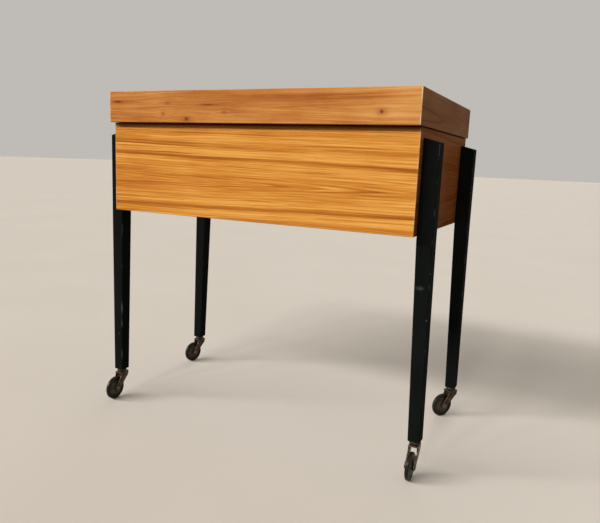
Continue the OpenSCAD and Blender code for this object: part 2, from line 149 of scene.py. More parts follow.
class Finish(Nodes):
    """A surface finish, built round one Principled shader."""

    def __init__(self, name):
        self.material = bpy.data.materials.new(name)
        super().__init__(self.material)
        shader = self.node("ShaderNodeBsdfPrincipled")
        self.node("ShaderNodeOutputMaterial", {}, {0: shader})
        self.shader = shader.socket.node
        place = self.node("ShaderNodeTexCoord", out="Object")
        self.axes = [self.node("ShaderNodeSeparateXYZ", {}, {0: place}, out=i) for i in range(3)]

    def set(self, **sockets):
        """Sets the shader's sockets, named with _ for a space."""
        for key, value in sockets.items():
            self.feed(self.shader.inputs[key.replace("_", " ")], value)

    def fade(self, value, start, end, low=0.0, high=1.0):
        """Runs smoothly from low to high while value goes from start to end."""
        return self.node("ShaderNodeMapRange", {"interpolation_type": "SMOOTHSTEP"},
                         {0: value, 1: start, 2: end, 3: low, 4: high})

    def noise(self, u, v, w=0.0, detail=2.0, roughness=0.5):
        """Noise about 0, from -0.5 to 0.5, one blob per unit."""
        point = self.node("ShaderNodeCombineXYZ", {}, {0: u, 1: v, 2: w})
        return self.node("ShaderNodeTexNoise", {},
                         {"Vector": point, "Scale": 1.0, "Detail": detail,
                          "Roughness": roughness}) - 0.5

    def length(self, a, b):
        return self.math("SQRT", a * a + b * b)

    def ramp(self, value, stops):
        return self.node("ShaderNodeValToRGB", {"stops": stops}, {0: value})

    def curve(self, value, stops):
        """A ramp of plain numbers."""
        grey = self.ramp(value, [(position, (level,) * 3) for position, level in stops])
        return self.node("ShaderNodeSeparateColor", {}, {0: grey})

    def mix(self, share, a, b, how="MIX"):
        return self.node("ShaderNodeMix", {"data_type": "RGBA", "blend_type": how},
                         {0: share, 6: a, 7: b}, out=2)

    def bump(self, height, depth, strength=1.0):
        """Raises the surface by height times depth."""
        self.set(Normal=self.node("ShaderNodeBump", {},
                                  {"Height": height, "Distance": depth, "Strength": strength}))

    def spot(self, u, v, at, size):
        """1 in the middle of an ellipse and 0 from its edge outwards."""
        reach = self.length((u - at[0]) / size[0], (v - at[1]) / size[1])
        return self.fade(reach, 0.0, 1.0, 1.0, 0.0)


POINTED = 1.3        # 2 would make the growth rings round, 1 a plain wedge
BAND_REACH = 0.1     # how far from the heart the given bands go
SWAY, RIPPLE = 0.0060, 0.0014    # how far the rings stray, in long waves and in short ones
LINE, STREAK, VEIN, FIBRE, PORE = 0.0013, 0.0018, 0.0017, 0.0006, 0.00035    # their widths
PALE_EDGE_FROM, PALE_EDGE_TO = 0.0008, 0.0021    # how far from an end the pale strip, partly wear and partly painted highlight, thins and ends
PAINTED_SHADOW_FROM, PAINTED_SHADOW_TO = 0.0006, 0.0016    # the depths at which the painted shadow under the lid thins and ends on a face
GRAIN_RELIEF = 0.00006    # how deep pores and fibres are felt
REDDENED = (0.93, 0.80, 0.82)
PORE_BROWN = (0.16, 0.055, 0.015)
KNOT_HALO, KNOT_EYE = (0.30, 0.070, 0.022), (0.10, 0.014, 0.008)
# The pale of the board ends: partly wear, partly a painted highlight on the arris
PALE_WEAR_AND_HIGHLIGHT = (0.82, 0.60, 0.42)
# The brown of the shadow painted under the lid's overhang
PAINTED_SHADOW_BROWN = (0.075, 0.014, 0.003)


def wood(name, *, along, across, face, heart, tones, seed, bands=None, knots=(), ring=0.005,
         contrast=1.0, mottle=0.35, lean=(0, 0), ends=None, painted_lid_shadow=None):
    """Flat-sawn wood. The growth rings lie about a heart that runs nearly along the board and
    come to narrow points on its face.

    along, across: the axes of the grain and across it on the face, 0 to 2.
    face: the board's outer face and its direction along the third axis.
    heart: its place across the board, its depth under the face at the board's middle, its slope.
    tones: the colours from dark to light.
    bands: the tone at each distance in millimetres from the heart, in place of even rings.
    knots: the place, the length and height, and the darkness of each.
    ring: the width of the even rings.
    contrast: how strong the lines, streaks and veins are.
    mottle: how strong the cloudy figure is between the rings.
    lean: how much lighter the board gets per metre along and across; on the side boards the
    lightening upwards is painted light.
    ends: where its arrises turn pale, and how much: partly wear and partly a painted highlight.
    painted_lid_shadow: the heights where a painted shadow of the lid's overhang starts and is
    darkest.
    """
    finish = Finish(name)
    third = 3 - along - across
    u, v = finish.axes[along], finish.axes[across]
    depth = (finish.axes[third] - face[0]) * face[1]
    middle, under, slope = heart

    sway = finish.noise(u * 3.2, v * 15, depth * 15 + seed, 2) * SWAY
    ripple = finish.noise(u * 13, v * 70, depth * 70 + seed, 2) * RIPPLE
    offset, down = v - middle + sway + ripple, u * slope + under + depth
    for at, (length, height), _ in knots:
        bend = finish.spot(u, v, at, (length * 7, height * 5))
        offset = offset + bend * (finish.math("SIGN", v - at[1]) * height * -0.7)
    powers = [finish.math("POWER", abs(part), POINTED) for part in (offset, down)]
    rings = finish.math("POWER", powers[0] + powers[1], 1 / POINTED)

    if bands:
        broad = finish.curve(rings / BAND_REACH,
                             [(r * 0.001 / BAND_REACH, tone) for r, tone in bands])
        broad = broad * 0.8 + 0.11 + finish.noise(rings / ring, u * 3, seed, 1) * 0.25
    else:
        broad = finish.noise(rings / ring, u * 2, seed, 3, 0.6) * (1.5 * min(contrast, 1)) + 0.5
    lines = finish.noise(rings / LINE, u * 3.2, seed + 3, 3, 0.7)
    streaks = finish.noise(v / STREAK, u * 6.5, depth / STREAK + seed, 3, 0.75)
    fibres = finish.noise(v / FIBRE, u * 24, depth / FIBRE, 2)
    pores = finish.fade(finish.noise(v / PORE, u * 130, depth / PORE + seed, 1), 0.17, 0.3)
    patches = finish.noise(u * 8, v * 34, seed + 5, 4, 0.6)
    veins = finish.fade(finish.noise(rings / VEIN, u * 4, seed + 13, 2), 0.09, 0.20)
    tone = (broad + lines * (1.2 * contrast) + streaks * (1.0 * contrast)
            + fibres * (0.40 * contrast) + patches * mottle - veins * (0.28 * contrast)
            + u * lean[0] + (v - middle) * lean[1])

    colour = finish.ramp(tone, tones)
    redder = finish.fade(finish.noise(u * 4, v * 30, seed + 9, 2), -0.05, 0.3, 0.0, 0.5)
    colour = finish.mix(redder, colour, finish.mix(1.0, colour, REDDENED, "MULTIPLY"))
    colour = finish.mix(pores * 0.45, colour, PORE_BROWN)
    for at, (length, height), darkness in knots:
        halo = finish.spot(u, v, at, (length * 3.5, height * 2.4)) * (darkness * 0.6)
        eye = finish.spot(u, v, at, (length, height)) * darkness
        colour = finish.mix(halo, colour, KNOT_HALO)
        colour = finish.mix(eye, colour, KNOT_EYE)
    # The pale strip along the ends is partly wear and partly a painted highlight on the arris
    if ends:
        inward = finish.math("MINIMUM", u - ends[0], ends[1] - u)
        wear_and_highlight = finish.fade(finish.noise(v * 70, u * 40, seed + 17, 3, 0.6), -0.16, 0.12)
        wear_and_highlight = wear_and_highlight * finish.fade(inward, PALE_EDGE_FROM, PALE_EDGE_TO, ends[2], 0.0)
        colour = finish.mix(wear_and_highlight, colour, PALE_WEAR_AND_HIGHLIGHT)
    # A dark band painted just under the lid stands for the shadow of its overhang: painted shadow
    if painted_lid_shadow:
        painted_shadow = finish.fade(v + patches * 0.0015, *painted_lid_shadow)
        painted_shadow = painted_shadow * finish.fade(abs(depth), PAINTED_SHADOW_FROM, PAINTED_SHADOW_TO, 0.9, 0)
        colour = finish.mix(painted_shadow, colour, PAINTED_SHADOW_BROWN)
    finish.colour, finish.tone, finish.patches = colour, tone, patches
    finish.pores, finish.fibres = pores, fibres
    return finish


def varnished(finish, coat=0.16):
    """A clear satin varnish over the wood, thin enough for the pores to show. Only the varnish
    shines, so coat is all the gloss there is."""
    finish.set(Base_Color=finish.colour, Coat_Roughness=0.2, Coat_IOR=1.5,
               Coat_Weight=finish.fade(finish.patches, -0.4, 0.4, coat * 0.7, coat * 1.3),
               Roughness=finish.pores * 0.15 + 0.46 + finish.patches * 0.12,
               Specular_IOR_Level=0.0)
    finish.bump(finish.fibres * 0.35 - finish.pores * 0.6 + finish.tone * 0.3,
                GRAIN_RELIEF, 0.5)
    return finish.material


TEAK_TONES = [(0.0, (0.27, 0.070, 0.009)), (0.28, (0.47, 0.146, 0.018)),
              (0.55, (0.67, 0.250, 0.035)), (0.8, (0.86, 0.402, 0.080)),
              (1.0, (0.91, 0.47, 0.115))]
LID_TONES = [(0.0, (0.30, 0.070, 0.014)), (0.28, (0.46, 0.145, 0.031)),
             (0.55, (0.61, 0.240, 0.055)), (0.8, (0.72, 0.325, 0.092)),
             (1.0, (0.80, 0.40, 0.135))]
# Darker copies of the teak's tones for the box's sides and back, and of the lid's tones for the
# lid's sides: painted shade, standing in for the shade those faces are in
SHADED_SIDE_TONES = [(0.0, (0.19, 0.047, 0.011)), (0.28, (0.31, 0.088, 0.020)),
              (0.55, (0.43, 0.138, 0.033)), (0.8, (0.54, 0.200, 0.056)),
              (1.0, (0.64, 0.27, 0.090))]
LID_SIDE_PAINTED_SHADE = 0.82
SHADED_LID_SIDE_TONES = [(place, tuple(level * LID_SIDE_PAINTED_SHADE for level in tone))
                  for place, tone in LID_TONES]


# --- Shapes ---

def block(low, high):
    """A plain block between two corners."""
    shape = bmesh.new()
    bmesh.ops.create_cube(shape, size=1)
    bmesh.ops.scale(shape, vec=high - low, verts=shape.verts)
    bmesh.ops.translate(shape, vec=(low + high) / 2, verts=shape.verts)
    return shape


def ease(shape, edges, radius, *, segments=3):
    """Rounds edges; the new narrow faces are shaded smooth."""
    made = bmesh.ops.bevel(shape, geom=list(edges), offset=radius, offset_type="OFFSET",
                           segments=segments, profile=0.5, affect="EDGES", clamp_overlap=True,
                           material=-1)
    for new_face in made["faces"]:
        new_face.smooth = True


def sharp_edges(shape, degrees=35):
    """The edges at which two faces turn by more than an angle."""
    return [e for e in shape.edges
            if e.is_manifold and e.calc_face_angle() > math.radians(degrees)]


def slice_off(shape, point, normal):
    """Takes away what lies beyond a plane and closes the cut."""
    cut = bmesh.ops.bisect_plane(shape, geom=shape.verts[:] + shape.edges[:] + shape.faces[:],
                                 plane_co=point, plane_no=normal, clear_outer=True, dist=1e-7)
    rim = [g for g in cut["geom_cut"] if isinstance(g, bmesh.types.BMEdge)]
    bmesh.ops.contextual_create(shape, geom=rim)


def turned(profile, *, steps=64):
    """Spins a closed profile of (radius, height) points about the Z axis."""
    shape = bmesh.new()
    points = [shape.verts.new((radius, 0, height)) for radius, height in profile]
    edges = [shape.edges.new((a, b)) for a, b in zip(points, points[1:] + points[:1])]
    bmesh.ops.spin(shape, geom=points + edges, cent=(0, 0, 0), axis=Z, angle=math.tau,
                   steps=steps, use_merge=True)
    bmesh.ops.remove_doubles(shape, verts=shape.verts, dist=1e-7)
    axis_line = [e for e in shape.edges if not e.link_faces]
    bmesh.ops.delete(shape, geom=axis_line, context="EDGES")
    bmesh.ops.recalc_face_normals(shape, faces=shape.faces)
    return shape


def joined(*shapes):
    """Puts shapes into one."""
    whole = bmesh.new()
    for shape in shapes:
        part = bpy.data.meshes.new("part")
        shape.to_mesh(part)
        shape.free()
        whole.from_mesh(part)
        bpy.data.meshes.remove(part)
    return whole


def thing(shape, name):
    """Makes a shape an object at the origin."""
    mesh = bpy.data.meshes.new(name)
    shape.to_mesh(mesh)
    shape.free()
    made = bpy.data.objects.new(name, mesh)
    bpy.context.scene.collection.objects.link(made)
    return made


def carve(made, cutter, how="DIFFERENCE"):
    """Takes a shape out of an object for good, or welds it on with UNION."""
    tool = thing(cutter, "cutter")
    step = made.modifiers.new("carve", "BOOLEAN")
    step.object, step.solver, step.operation = tool, "EXACT", how
    graph = bpy.context.evaluated_depsgraph_get()
    carved = bpy.data.meshes.new_from_object(made.evaluated_get(graph))
    made.modifiers.clear()
    made.data = carved
    bpy.data.objects.remove(tool)


def piece(shape, name, material, node, *, smooth=None, cutters=(), welded=(), place=None):
    """Makes a shape a piece that stands for a CAD node and rides on that node's body. It is cut
    and welded first, and then put in its place. Faces that meet at less than smooth degrees are
    shaded as one."""
    bmesh.ops.recalc_face_normals(shape, faces=shape.faces)
    made = thing(shape, name)
    for cutter in cutters:
        carve(made, cutter)
    for part in welded:
        carve(made, part, "UNION")
    if place:
        made.data.transform(place)
    if smooth:
        made.data.polygons.foreach_set("use_smooth", [True] * len(made.data.polygons))
        made.data.set_sharp_from_angle(angle=math.radians(smooth))
    made.data.materials.clear()
    made.data.materials.append(material)
    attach(made, frame["nodes"][node]["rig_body"])
    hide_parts(node)


def eased_copy(node, radius, material):
    """A CAD node's own shape with its triangles joined and its edges eased."""
    shape = bmesh.new()
    shape.from_mesh(frame["nodes"][node].data)
    bmesh.ops.remove_doubles(shape, verts=shape.verts, dist=1e-6)
    bmesh.ops.dissolve_limit(shape, angle_limit=math.radians(0.5), verts=shape.verts,
                             edges=shape.edges)
    ease(shape, sharp_edges(shape, 50), radius, segments=2)
    piece(shape, node + "_eased", material, node)


# --- Teak boards of the box and the lid ---

body_low, body_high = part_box("front_panel")[0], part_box("back_panel")[1]
lid_low, lid_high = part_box("lid_front_apron")[0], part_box("lid_back_apron")[1]
lid_top_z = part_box("lid_top")[0].z
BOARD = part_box("front_panel")[1].y - body_low.y
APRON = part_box("lid_front_apron")[1].y - lid_low.y
ARRIS = 0.0008    # how far the boards' edges are rounded
SIDES = {"front": (-Y, X), "right": (X, Y), "back": (Y, X), "left": (-X, Y)}    # outward, along


def whole_case(low, high):
    """The outside of the box or the lid before it is cut into boards, with its arrises eased."""
    shape = block(low, high)
    ease(shape, shape.edges, ARRIS)
    return shape


def face_middle(low, high, outward):
    """The middle of a case's outer face."""
    return (low + high) / 2 + outward * abs(((high - low) / 2).dot(outward))


def cut_side(low, high, side, thickness):
    """One mitred board of a case, and the middle of its outer face."""
    outward, along = SIDES[side]
    face = face_middle(low, high, outward)
    shape = whole_case(low, high)
    for way in (-1, 1):
        corner = face + along * way * abs(((high - low) / 2).dot(along))
        slice_off(shape, corner, (along * way - outward).normalized())
    slice_off(shape, face - outward * thickness, -outward)
    return shape, face


def under_lid_top(face, outward, sign):
    """The sloping plane in which the lid's top panel meets an apron."""
    slope = (Z * APRON - outward * (lid_high.z - lid_top_z)).normalized()
    edge = Vector((face.x, face.y, lid_high.z))
    return edge, slope * sign


# The rings' two narrow points, then the long dark line above them and the one low down
FRONT_BANDS = [
    (0, 0.40), (17, 0.40), (22, 0.44), (23.6, 0.50), (24.2, 0.24), (25, 0.48),
    (26.5, 0.52), (27.2, 0.27), (28.2, 0.58), (34, 0.66), (40, 0.72), (44.4, 0.60),
    (46, 0.24), (47.8, 0.20), (49.2, 0.62), (54, 0.80), (58.5, 0.70), (61, 0.40),
    (63.8, 0.40), (66, 0.62), (72, 0.70), (80, 0.54), (86, 0.64), (95, 0.55)]
LID_KNOTS = [
    ((0.1843, 0.4519), (0.0034, 0.0034), 0.9), ((-0.0935, 0.4419), (0.0055, 0.0040), 0.8),
    ((-0.2160, 0.4655), (0.0140, 0.0024), 0.85), ((-0.1340, 0.4490), (0.0024, 0.0040), 0.45),
    ((-0.0328, 0.4514), (0.0030, 0.0042), 0.35), ((-0.0580, 0.4605), (0.0200, 0.0022), 0.65),
    ((-0.1260, 0.4630), (0.0080, 0.0040), 0.35)]

# On the front and the side boards, the dark band just under the lid is a painted shadow of the
# lid's overhang
front_teak = varnished(wood(
    "front_teak", along=0, across=2, face=(body_low.y, 1), heart=(0.358, 0.0225, 0.026),
    tones=TEAK_TONES, seed=3.7, bands=FRONT_BANDS, lean=(0.22, 0),
    ends=(body_low.x, body_high.x, 0.35), painted_lid_shadow=(0.4312, 0.4355)))
lid_front_teak = varnished(wood(
    "lid_front_teak", along=0, across=2, face=(lid_low.y, 1), heart=(0.456, 0.015, -0.03),
    tones=LID_TONES, seed=11.3, knots=LID_KNOTS, contrast=0.62, mottle=1.1, lean=(0.35, 0),
    ends=(lid_low.x, lid_high.x, 0.9)))
lid_top_teak = varnished(wood(
    "lid_top_teak", along=0, across=1, face=(lid_high.z, -1), heart=(0.02, 0.03, 0.04),
    tones=LID_TONES, seed=21.9))
side_teak = {}
# The side boards grow lighter upwards: painted light, as their tops catch more light
for side, way, seed in (("right", -1, 31.1), ("left", 1, 37.7)):
    edge = body_high.x if side == "right" else body_low.x
    side_teak[side] = varnished(wood(
        side + "_teak", along=1, across=2, face=(edge, way), heart=(0.37, 0.03, 0.05),
        tones=SHADED_SIDE_TONES, seed=seed, contrast=0.6, lean=(0, 2.5),
        ends=(body_low.y, body_high.y, 0.3), painted_lid_shadow=(0.4340, 0.4364)), coat=0.05)
    side_teak["lid_" + side] = varnished(wood(
        "lid_" + side + "_teak", along=1, across=2, face=(edge, way), heart=(0.45, 0.02, 0.04),
        tones=SHADED_LID_SIDE_TONES, seed=seed + 2, contrast=0.5, mottle=0.6,
        ends=(lid_low.y, lid_high.y, 0.4)), coat=0.12)
# The back takes the sides' darker tones: painted shade
back_teak = varnished(wood(
    "back_teak", along=0, across=2, face=(body_high.y, -1), heart=(0.38, 0.03, 0.03),
    tones=SHADED_SIDE_TONES, seed=43.1, ends=(body_low.x, body_high.x, 0.4)))
lid_back_teak = varnished(wood(
    "lid_back_teak", along=0, across=2, face=(lid_high.y, -1), heart=(0.46, 0.03, 0.04),
    tones=LID_TONES, seed=47.9, contrast=0.7, mottle=0.8, ends=(lid_low.x, lid_high.x, 0.5)))
teak_of = {"front": front_teak, "back": back_teak, "left": side_teak["left"],
           "right": side_teak["right"], "lid_front": lid_front_teak, "lid_back": lid_back_teak,
           "lid_left": side_teak["lid_left"], "lid_right": side_teak["lid_right"]}


PLAY = 0.0002                           # between a fitted part and its seat
HEAD_R, SINK_R, SHANK_R = 0.0038, 0.00385, 0.00205
SINK_DEPTH, SCREW_DEPTH = 0.0018, 0.0118
OVERCUT = 0.001                         # how far a cutter stands out of the wood
LEAF = 0.0012                           # a hinge leaf's thickness
KNUCKLE_ROOM = 0.0003


def bottom_groove():
    """The groove is the bottom panel's own outline with a little play."""
    low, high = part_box("bottom_panel")
    play = Vector((PLAY, PLAY, 0))
    return block(low - play, high + play)


def leg_screw_sinks(side):
    """The countersinks of the leg screws inside a side board."""
    low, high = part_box("leg_screws")
    sinks = []
    for end in (-1, 1):
        for height in (low.z + HEAD_R, high.z - HEAD_R):
            sink = turned([(0, -OVERCUT), (SINK_R, -OVERCUT), (SINK_R, 0), (SHANK_R, SINK_DEPTH),
                           (SHANK_R, SCREW_DEPTH), (0, SCREW_DEPTH)], steps=32)
            bmesh.ops.rotate(sink, cent=(0, 0, 0), matrix=Matrix.Rotation(math.pi / 2, 3, "Y"),
                             verts=sink.verts)
            bmesh.ops.translate(sink, verts=sink.verts,
                                vec=(body_high.x - BOARD, end * (high.y - HEAD_R), height))
            sinks.append(sink)
    sinks = joined(*sinks)
    if side == "left":
        bmesh.ops.scale(sinks, vec=(-1, 1, 1), verts=sinks.verts)
        bmesh.ops.recalc_face_normals(sinks, faces=sinks.faces)
    return sinks


def hinge_recess():
    """The recesses of both hinges in the lid's back apron."""
    cuts = []
    for hinge in ("left", "right"):
        leaf_low, leaf_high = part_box(hinge + "_hinge_lid_leaf")
        knuckle_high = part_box(hinge + "_hinge_body_leaf")[1]
        cuts.append(block(Vector((leaf_low.x - PLAY, leaf_low.y - PLAY, leaf_low.z - OVERCUT)),
                          Vector((leaf_high.x + PLAY, body_high.y, leaf_low.z + LEAF))))
        cuts.append(block(Vector((leaf_low.x - PLAY, body_high.y - OVERCUT,
                                  leaf_low.z - OVERCUT)),
                          Vector((leaf_high.x + PLAY, knuckle_high.y + KNUCKLE_ROOM,
                                  knuckle_high.z + KNUCKLE_ROOM))))
    return joined(*cuts)


for side, (outward, _) in SIDES.items():
    board, _ = cut_side(body_low, body_high, side, BOARD)
    cutters = [bottom_groove()]
    if side in ("left", "right"):
        cutters.append(leg_screw_sinks(side))
    piece(board, side + "_board", teak_of[side], side + "_panel",
          cutters=cutters)

    board, face = cut_side(lid_low, lid_high, side, APRON)
    slice_off(board, *under_lid_top(face, outward, 1))
    piece(board, "lid_" + side + "_board", teak_of["lid_" + side], "lid_" + side + "_apron",
          cutters=[hinge_recess()] if side == "back" else [])

lid_board = whole_case(lid_low, lid_high)
for outward, _ in SIDES.values():
    slice_off(lid_board, *under_lid_top(face_middle(lid_low, lid_high, outward), outward, -1))
slice_off(lid_board, Vector((0, 0, lid_top_z)), -Z)
piece(lid_board, "lid_top_board", lid_top_teak, "lid_top")


# --- Legs ---

INNER_TAPER = 0.007    # how far outwards the face against the box has gone at the foot
OUTER_FLARE = 0.003    # and the outer face
END_TAPER = 0.004      # and how far inwards the front or the back face
STRAIGHT = 0.006       # from the box's underside down to where the taper starts
TOP_SLOPE = 0.005      # how far the top drops outwards
LEG_ARRIS = 0.0011
PLUG_R, PLUG = 0.005, 0.028    # the part of the castor's socket that sits in the leg
NEAR = 0.001           # points closer than this in height count as level
leg_low, leg_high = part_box("front_right_leg")
LEG = leg_high.y - leg_low.y
taper_z, foot_z = body_low.z - STRAIGHT, leg_low.z

PAINT_TONES = [(0.25, (0.0040, 0.0048, 0.0042)), (0.75, (0.0090, 0.0104, 0.0090))]
WORN_GREY, SCUFF_GREY = (0.085, 0.087, 0.078), (0.11, 0.12, 0.115)
FLECK_GREY = (0.05, 0.045, 0.038)
# Scuffs on the front legs: the side of the box, the place out and up, the size, how pale
SCUFFS = ((1, (body_high.x + 0.0085, 0.2460), (0.0075, 0.0036), 0.55),
          (1, (body_high.x + 0.0205, 0.2650), (0.0016, 0.0022), 0.8),
          (1, (body_high.x + 0.0200, 0.2070), (0.0018, 0.0018), 0.8),
          (-1, (body_high.x + INNER_TAPER * 0.70, 0.1500), (0.0018, 0.0140), 1.3),
          (-1, (body_high.x + INNER_TAPER * 0.78, 0.1250), (0.0018, 0.0100), 0.9),
          (-1, (body_high.x + INNER_TAPER * 0.95, 0.0730), (0.0018, 0.0130), 0.9),
          (-1, (body_high.x + 0.0120, 0.1070), (0.0018, 0.0030), 0.4))


def black_paint():
    """Satin black paint, worn to grey in places along the arrises, scuffed on the front legs."""
    finish = Finish("black_paint")
    x, y, z = finish.axes
    taper = finish.math("MAXIMUM", (taper_z - z) / (taper_z - foot_z), 0)
    taper = finish.math("MINIMUM", taper, 1)
    out = abs(x) - body_high.x
    back = (-leg_low.y) - abs(y)
    beside = finish.math("MINIMUM", out - taper * INNER_TAPER, taper * OUTER_FLARE + LEG - out)
    ahead = finish.math("MINIMUM", back - taper * END_TAPER, LEG - back)
    corner = finish.math("MAXIMUM", beside, ahead)
    rub = finish.noise(x * 60, y * 60, z * 38, 3, 0.6)
    worn = finish.fade(corner, 0.0003, 0.0013, 1.0, 0.0) * finish.fade(rub, 0.05, 0.14)
    scuffed = 0.0
    for side, at, size, pale in SCUFFS:
        scuffed = finish.spot(x * side, z, at, size) * pale + scuffed
    front = finish.fade(back - taper * END_TAPER, 0.0008, 0.0020, 1.0, 0.0)
    front = front * finish.fade(y, -0.1, 0.0, 1.0, 0.0)
    scuffed = scuffed * front * finish.fade(rub, -0.3, 0.0)
    brush = finish.noise(x * 500, y * 500, z * 14, 2)
    dust = finish.noise(x * 25, y * 25, z * 9, 4, 0.6)
    fleck = finish.fade(finish.noise(x * 260, y * 260, z * 150, 1), 0.27, 0.33)
    colour = finish.ramp(dust + 0.5, PAINT_TONES)
    colour = finish.mix(worn * 0.75, colour, WORN_GREY)
    colour = finish.mix(scuffed * 0.8, colour, SCUFF_GREY)
    colour = finish.mix(fleck * 0.5, colour, FLECK_GREY)
    finish.set(Base_Color=colour, Specular_IOR_Level=0.0, Coat_Weight=0.05, Coat_Roughness=0.3,
               Roughness=brush * 0.10 + dust * 0.12 + 0.45 + worn * 0.2)
    finish.bump(brush * 0.5 + rub * 0.4 - worn * 0.7, 0.00005, 0.6)
    return finish.material


black = black_paint()


def socket_bore(corner):
    """The bore in a leg's foot that holds the castor's socket."""
    bore = turned([(0, foot_z - OVERCUT), (PLUG_R, foot_z - OVERCUT), (PLUG_R, foot_z + PLUG),
                   (0, foot_z + PLUG)], steps=48)
    low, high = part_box(corner + "_socket")
    middle = (low + high) / 2
    bmesh.ops.translate(bore, verts=bore.verts, vec=(middle.x, middle.y, 0))
    return bore


def leg(corner):
    """A square leg beside the box, tapered below it, with its top sloping outwards."""
    shape = block(Vector((body_high.x, leg_low.y, foot_z)),
                  Vector((body_high.x + LEG, leg_high.y, leg_high.z)))
    bmesh.ops.bisect_plane(shape, geom=shape.verts[:] + shape.edges[:] + shape.faces[:],
                           plane_co=(0, 0, taper_z), plane_no=Z)
    for vert in shape.verts:
        if vert.co.z < taper_z - NEAR:
            vert.co.x += INNER_TAPER if vert.co.x < body_high.x + LEG / 2 else OUTER_FLARE
            vert.co.y += END_TAPER if vert.co.y < (leg_low.y + leg_high.y) / 2 else 0
        if vert.co.z > leg_high.z - NEAR and vert.co.x > body_high.x + LEG / 2:
            vert.co.z -= TOP_SLOPE
    ease(shape, sharp_edges(shape), LEG_ARRIS)
    flip = (1 if "right" in corner else -1, 1 if "front" in corner else -1, 1)
    bmesh.ops.scale(shape, vec=flip, verts=shape.verts)
    piece(shape, corner + "_painted_leg", black, corner + "_leg",
          cutters=[socket_bore(corner)])


for corner in CORNERS:
    leg(corner)


# --- Castors ---

def metal(name, *, bright, dull, rough, tarnish=(-0.1, 0.25), metallic=0.9):
    """Metal that has gone dull in patches. The dull colour takes over between the two levels of
    tarnish in the noise."""
    finish = Finish(name)
    x, y, z = finish.axes
    stain = finish.fade(finish.noise(x * 160, y * 160, z * 160, 4, 0.65), *tarnish)
    grain = finish.noise(x * 1500, y * 1500, z * 1500, 2)
    finish.set(Base_Color=finish.mix(stain, bright, dull),
               Metallic=stain * -0.35 + metallic,
               Roughness=stain * 0.25 + grain * 0.1 + rough)
    finish.bump(grain * 0.4 + stain * 0.6, 0.00004, 0.5)
    return finish.material


bronze = metal("tarnished_bronze", bright=(0.115, 0.070, 0.040), dull=(0.020, 0.011, 0.007),
               rough=0.27, tarnish=(-0.2, 0.15))
disc_bronze = metal("brown_disc", bright=(0.080, 0.064, 0.040), dull=(0.020, 0.0150, 0.0095),
                    rough=0.26, tarnish=(-0.15, 0.2))
rivet_steel = metal("browned_steel", bright=(0.15, 0.125, 0.095), dull=(0.045, 0.034, 0.024),
                    rough=0.34)
screw_steel = metal("dull_steel", bright=(0.36, 0.33, 0.29), dull=(0.10, 0.075, 0.055),
                    rough=0.26)
aged_brass = metal("aged_brass", bright=(0.66, 0.45, 0.17), dull=(0.28, 0.17, 0.06),
                   rough=0.22, tarnish=(0.0, 0.35), metallic=1.0)
black_steel = metal("black_steel", bright=(0.016, 0.016, 0.017), dull=(0.03, 0.026, 0.022),
                    rough=0.36, metallic=0.4)


def rubber():
    """Old hard rubber, browned by dust."""
    finish = Finish("tyre_rubber")
    x, y, z = finish.axes
    dust = finish.noise(x * 90, y * 90, z * 90, 4, 0.7)
    grain = finish.noise(x * 2200, y * 2200, z * 2200, 2)
    finish.set(Base_Color=finish.ramp(dust + 0.5, [(0.3, (0.0068, 0.0050, 0.0030)),
                                                   (0.8, (0.030, 0.0225, 0.0140))]),
               Roughness=dust * 0.25 + 0.34, Specular_IOR_Level=0.2)
    finish.bump(grain + dust, 0.00004, 0.5)
    return finish.material


tyre_rubber = rubber()

TRAIL = 0.016                             # from the swivel to the axle
AXLE_Z = 0.018
SHEET, SHEET_ARRIS = 0.0016, 0.00035      # the fork's sheet
CROWN_Z = 0.0400                          # the crown's underside
CROWN_LENGTH, CROWN_ROUND, CROWN_BEND = 0.0174, 0.0008, 0.0007
SKIRT = 0.0045                            # how far an arm goes down at its full width
ARM_IN, ARM_END = 0.0049, 0.0048          # an arm's place, and its round end's radius
ARM_BEND, ARM_STEPS = 0.0022, 28
SHEET_BITE = 0.0004                       # how far welded parts run into each other
STEM_R, STEM_TOP, STEM_END = 0.003, 0.0716, 0.0006
AXLE_R, AXLE_HEAD_R = 0.0018, 0.0031
HUB_BORE, HUB_R, HUB_HALF = 0.00185, 0.004, 0.0047
DISC_R, RIM_HALF = 0.013, 0.0019
DOME_R, DOME_CENTRE = 0.03535, 0.030975   # the sphere that the disc's face is part of
DOME_STEPS = 12
TYRE_IN, TYRE_R, TYRE_HALF = 0.01305, 0.018, 0.0025
TREAD_ROUND, TYRE_ARRIS = 0.0015, 0.0003
NECK_BORE, COLLAR_R, NECK_R, COLLAR_ROUND = 0.00305, 0.0073, 0.0069, 0.0009


def castor_place(corner):
    """Where a castor stands and how far it has swivelled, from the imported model."""
    low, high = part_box(corner + "_socket")
    foot = (low + high) / 2
    low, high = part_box(corner + "_tyre")
    hub = (low + high) / 2
    turn = math.atan2(hub.x - foot.x, foot.y - hub.y)
    return Matrix.Translation((foot.x, foot.y, 0)) @ Matrix.Rotation(turn, 4, "Z")


def tangent_angle(corner, side):
    """The direction, seen from the axle, in which a line from a corner touches the arm's end."""
    away = Vector(corner) - Vector((-TRAIL, AXLE_Z))
    return math.atan2(away.y, away.x) + side * math.acos(ARM_END / away.length)


